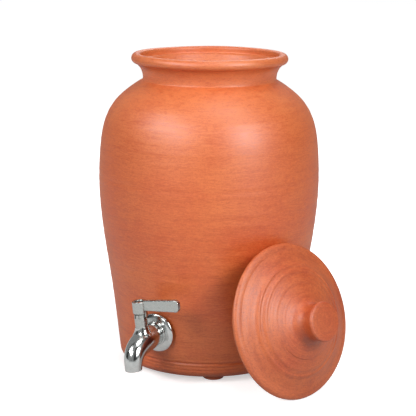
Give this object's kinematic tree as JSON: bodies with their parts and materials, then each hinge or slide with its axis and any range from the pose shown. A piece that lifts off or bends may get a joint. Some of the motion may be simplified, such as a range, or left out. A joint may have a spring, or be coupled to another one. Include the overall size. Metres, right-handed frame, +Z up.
{
  "type": "terracotta water jar",
  "caption": "Wide-shouldered terracotta water jar on small clay feet with a quarter-turn lever tap and a knobbed lid that leans beside it.",
  "frame": {"origin": "on the jar's axis at floor level, under the middle of its base", "axes": "+Z up along the jar's axis, -Y the way the tap points out, +X the way the closed lever points"},
  "size_m": [0.3185, 0.2921, 0.3532],
  "materials": {
    "jar_clay": "unglazed terracotta, burnished by the potter's rib",
    "lid_clay": "unglazed terracotta with throwing rings",
    "polished_steel": "mirror polished",
    "satin_steel": "satin",
    "screw_steel": "polished",
    "nut_steel": "turned",
    "rubber": "matt",
    "ptfe": "waxy white"
  },
  "bodies": {
    "jar": {"jar_body": "jar_clay", "outer_gasket": "rubber", "inner_gasket": "rubber", "backing_washer": "nut_steel", "lock_nut": "nut_steel", "tap_body": "polished_steel", "flange": "polished_steel", "bonnet": "satin_steel", "valve_liner": "ptfe", "thrust_bush": "ptfe"},
    "tap_handle": {"handle": "satin_steel", "plug": "satin_steel", "stem_o_rings": "rubber", "handle_screw": "screw_steel"},
    "jar_lid": {"lid": "lid_clay"}
  },
  "joints": [
    {"name": "tap_turn", "type": "hinge", "parent": "jar", "child": "tap_handle", "pos_m": [-0.00263, -0.1371, 0.0846], "axis": [-0.0872, -0.0435, 0.9952], "range_deg": [-90, 0]},
    {"name": "lid_lift", "type": "slide", "parent": "jar", "child": "jar_lid", "axis": [0.9245, -0.2651, 0.274], "range_m": [0, 0.25]}
  ]
}
